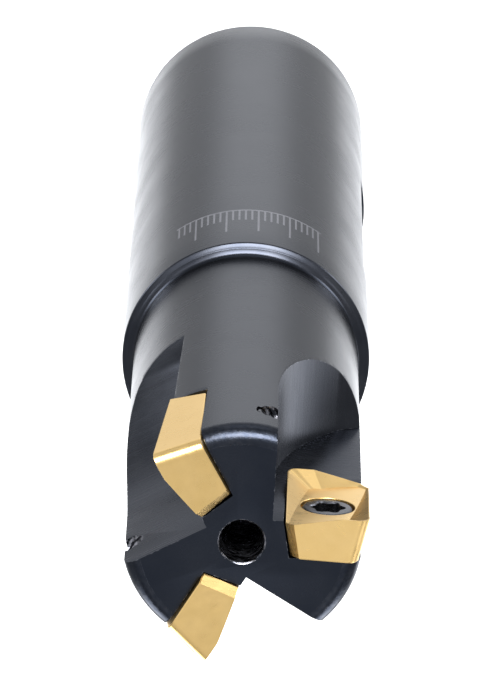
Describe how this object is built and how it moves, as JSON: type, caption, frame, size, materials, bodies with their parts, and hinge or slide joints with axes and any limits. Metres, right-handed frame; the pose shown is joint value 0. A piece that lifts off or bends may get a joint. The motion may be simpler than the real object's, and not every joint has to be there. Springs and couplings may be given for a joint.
{
  "type": "indexable face mill",
  "caption": "Indexable square-shoulder face mill: round shank with a clamping flat, slimmer neck, chip flutes and gold-coated carbide inserts held by screws.",
  "frame": {"origin": "centre of the shank's end face, which the tool stands on", "axes": "+Z along the tool's axis towards the cutting end; +X towards the first insert"},
  "size_m": [0.02, 0.02, 0.1053],
  "materials": {
    "black_oxide_steel": "satin black oxide",
    "gold_coated_carbide": "satin gold nitride coating",
    "dark_screw_steel": "semi-gloss black oxide"
  },
  "bodies": {
    "cutter_body": {"cutter_body": "black_oxide_steel"},
    "insert_1": {"insert_1": "gold_coated_carbide"},
    "insert_screw_1": {"insert_screw_1": "dark_screw_steel"},
    "insert_2": {"insert_2": "gold_coated_carbide"},
    "insert_screw_2": {"insert_screw_2": "dark_screw_steel"},
    "insert_3": {"insert_3": "gold_coated_carbide"},
    "insert_screw_3": {"insert_screw_3": "dark_screw_steel"}
  },
  "joints": [
    {"name": "insert_1_lift", "type": "slide", "parent": "cutter_body", "child": "insert_1", "axis": [0, 0.9989, -0.0471], "range_m": [0, 0.0045]},
    {"name": "screw_1_turn", "type": "hinge", "parent": "insert_1", "child": "insert_screw_1", "pos_m": [0.00634, -0.00128, 0.09951], "axis": [0, 0.9989, -0.0471], "range_deg": [0, 3600]},
    {"name": "insert_2_lift", "type": "slide", "parent": "cutter_body", "child": "insert_2", "axis": [-0.8651, -0.4994, -0.0471], "range_m": [0, 0.0045]},
    {"name": "screw_2_turn", "type": "hinge", "parent": "insert_2", "child": "insert_screw_2", "pos_m": [-0.00206, 0.00613, 0.09951], "axis": [-0.8651, -0.4994, -0.0471], "range_deg": [0, 3600]},
    {"name": "insert_3_lift", "type": "slide", "parent": "cutter_body", "child": "insert_3", "axis": [0.8651, -0.4994, -0.0471], "range_m": [0, 0.0045]},
    {"name": "screw_3_turn", "type": "hinge", "parent": "insert_3", "child": "insert_screw_3", "pos_m": [-0.00428, -0.00485, 0.09951], "axis": [0.8651, -0.4994, -0.0471], "range_deg": [0, 3600]}
  ],
  "couplings": [
    {"joint": "screw_1_turn", "follows": "insert_1_lift", "rad_per_m": 13963},
    {"joint": "screw_2_turn", "follows": "insert_2_lift", "rad_per_m": 13963},
    {"joint": "screw_3_turn", "follows": "insert_3_lift", "rad_per_m": 13963}
  ]
}
